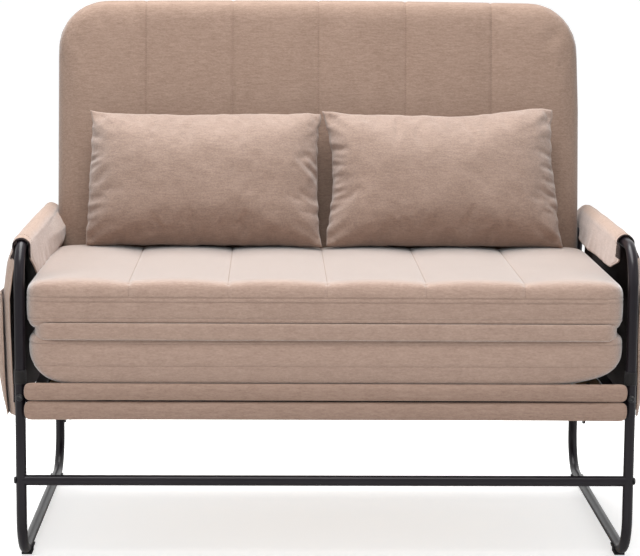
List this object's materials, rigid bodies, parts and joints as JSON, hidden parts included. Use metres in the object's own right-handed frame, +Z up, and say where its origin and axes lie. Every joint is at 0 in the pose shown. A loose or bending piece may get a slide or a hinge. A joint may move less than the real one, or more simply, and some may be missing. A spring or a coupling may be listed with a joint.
{
  "type": "sofa bed",
  "caption": "Tube framed loveseat sofa bed with channelled cushions, fabric arms with pockets, a reclining back and a pull-out slatted front.",
  "frame": {"origin": "on the floor, below the middle of the whole piece", "axes": "+X towards the right-hand end seen from the front, +Y from the seat front to the back, +Z up"},
  "size_m": [1.1942, 0.7876, 1.0071],
  "materials": {
    "cover_fabric": "short pile velvet",
    "black_tube": "semi-gloss powder coat",
    "fastener_steel": "black zinc",
    "foot_rubber": "matte",
    "slat_wood": "lacquered birch plywood",
    "glide_plastic": "natural nylon",
    "strap_webbing": "woven webbing"
  },
  "bodies": {
    "frame": {"side_frame_left": "black_tube", "side_frame_right": "black_tube", "front_crossbar": "black_tube", "rear_crossbar": "black_tube", "crossbar_bolts": "fastener_steel", "rubber_feet": "foot_rubber", "corner_brackets": "black_tube", "bracket_bolts": "fastener_steel", "side_rail_left": "black_tube", "side_rail_right": "black_tube", "front_rail": "black_tube", "rear_rail": "black_tube", "fixed_slats": "slat_wood", "tray_track_left": "black_tube", "tray_track_right": "black_tube", "lower_cushion": "cover_fabric", "fold_band_lower": "cover_fabric", "ratchet_plate_left": "black_tube", "ratchet_plate_right": "black_tube", "recline_pins": "fastener_steel", "arm_sleeve_left": "cover_fabric", "arm_sleeve_right": "cover_fabric", "inner_flap_left": "cover_fabric", "inner_flap_right": "cover_fabric", "outer_panel_left": "cover_fabric", "outer_panel_right": "cover_fabric", "side_pocket_left": "cover_fabric", "side_pocket_right": "cover_fabric", "panel_straps": "strap_webbing"},
    "backrest": {"backrest_pad": "cover_fabric", "backrest_tube": "black_tube", "backrest_webbing": "strap_webbing", "backrest_panel": "cover_fabric", "recline_arm_left": "black_tube", "recline_arm_right": "black_tube"},
    "seat_fold": {"upper_cushion": "cover_fabric", "fold_band_upper": "cover_fabric"},
    "tray": {"tray_front_rail": "black_tube", "tray_runner_left": "black_tube", "tray_runner_right": "black_tube", "tray_rear_rail": "black_tube", "tray_slats": "slat_wood", "tray_glides": "glide_plastic", "apron_lower": "cover_fabric", "apron_upper": "cover_fabric", "leg_brackets": "black_tube", "leg_pins": "fastener_steel"},
    "tray_leg": {"folding_leg": "black_tube", "leg_feet": "foot_rubber"},
    "pillow_left": {"pillow_left": "cover_fabric"},
    "pillow_right": {"pillow_right": "cover_fabric"}
  },
  "joints": [
    {"name": "backrest_recline", "type": "hinge", "parent": "frame", "child": "backrest", "pos_m": [0, 0.1792, 0.3845], "axis": [-1, 0, 0], "range_deg": [0, 82]},
    {"name": "seat_fold_out", "type": "hinge", "parent": "frame", "child": "seat_fold", "pos_m": [0, -0.3941, 0.4335], "axis": [1, 0, 0], "range_deg": [0, 180]},
    {"name": "tray_slide", "type": "slide", "parent": "frame", "child": "tray", "axis": [0, -1, 0], "range_m": [0, 0.56]},
    {"name": "tray_leg_fold", "type": "hinge", "parent": "tray", "child": "tray_leg", "pos_m": [0, -0.2843, 0.262], "axis": [-1, 0, 0], "range_deg": [0, 90]},
    {"name": "pillow_left_carry", "type": "hinge", "parent": "seat_fold", "child": "pillow_left", "pos_m": [0, 0.1671, 0.4766], "axis": [1, 0, 0], "range_deg": [-256, 0]},
    {"name": "pillow_right_carry", "type": "hinge", "parent": "seat_fold", "child": "pillow_right", "pos_m": [0, 0.1671, 0.4766], "axis": [1, 0, 0], "range_deg": [-256, 0]}
  ],
  "couplings": [
    {"joint": "pillow_left_carry", "follows": "seat_fold_out", "ratio": -1.4222},
    {"joint": "pillow_right_carry", "follows": "seat_fold_out", "ratio": -1.4222}
  ]
}
